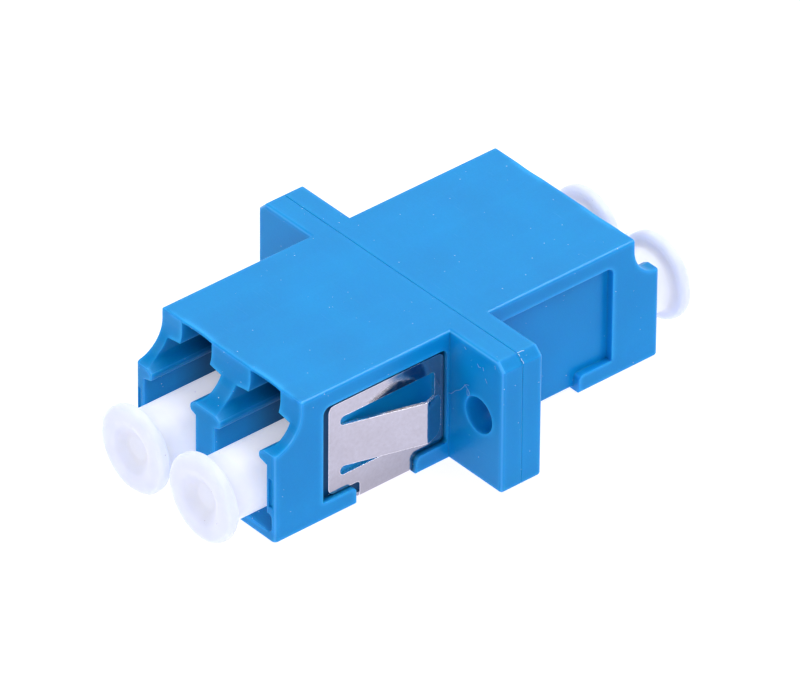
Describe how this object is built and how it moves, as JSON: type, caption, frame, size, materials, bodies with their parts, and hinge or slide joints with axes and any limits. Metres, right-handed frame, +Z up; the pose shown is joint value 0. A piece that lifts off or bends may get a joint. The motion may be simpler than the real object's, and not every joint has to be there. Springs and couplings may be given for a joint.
{
  "type": "fibre optic adapter",
  "caption": "Duplex LC fibre adapter: a blue welded housing with a screw flange, a folded steel panel clip, hidden split sleeves and pull-out dust caps.",
  "frame": {"origin": "underside of the housing, midway across, on the plane where the two halves meet", "axes": "+X to the right, +Y along the fibres to the rear (the clip is on the front half, -Y), +Z up on the latch side"},
  "size_m": [0.0222, 0.036, 0.0092],
  "materials": {
    "housing": "satin moulded, single-mode blue",
    "sleeve": "polished zirconia ceramic",
    "clip": "bright rolled spring steel",
    "dust_cap": "milky soft polyethylene"
  },
  "bodies": {
    "housing": {"housing_front": "housing", "housing_rear": "housing", "alignment_sleeve_left": "sleeve", "alignment_sleeve_right": "sleeve", "panel_clip": "clip"},
    "cap_front_left": {"dust_cap_front_left": "dust_cap"},
    "cap_front_right": {"dust_cap_front_right": "dust_cap"},
    "cap_rear_left": {"dust_cap_rear_left": "dust_cap"},
    "cap_rear_right": {"dust_cap_rear_right": "dust_cap"}
  },
  "joints": [
    {"name": "pull_front_left_cap", "type": "slide", "parent": "housing", "child": "cap_front_left", "axis": [0, -1, 0], "range_m": [0, 0.014]},
    {"name": "pull_front_right_cap", "type": "slide", "parent": "housing", "child": "cap_front_right", "axis": [0, -1, 0], "range_m": [0, 0.014]},
    {"name": "pull_rear_left_cap", "type": "slide", "parent": "housing", "child": "cap_rear_left", "axis": [0, 1, 0], "range_m": [0, 0.014]},
    {"name": "pull_rear_right_cap", "type": "slide", "parent": "housing", "child": "cap_rear_right", "axis": [0, 1, 0], "range_m": [0, 0.014]}
  ]
}
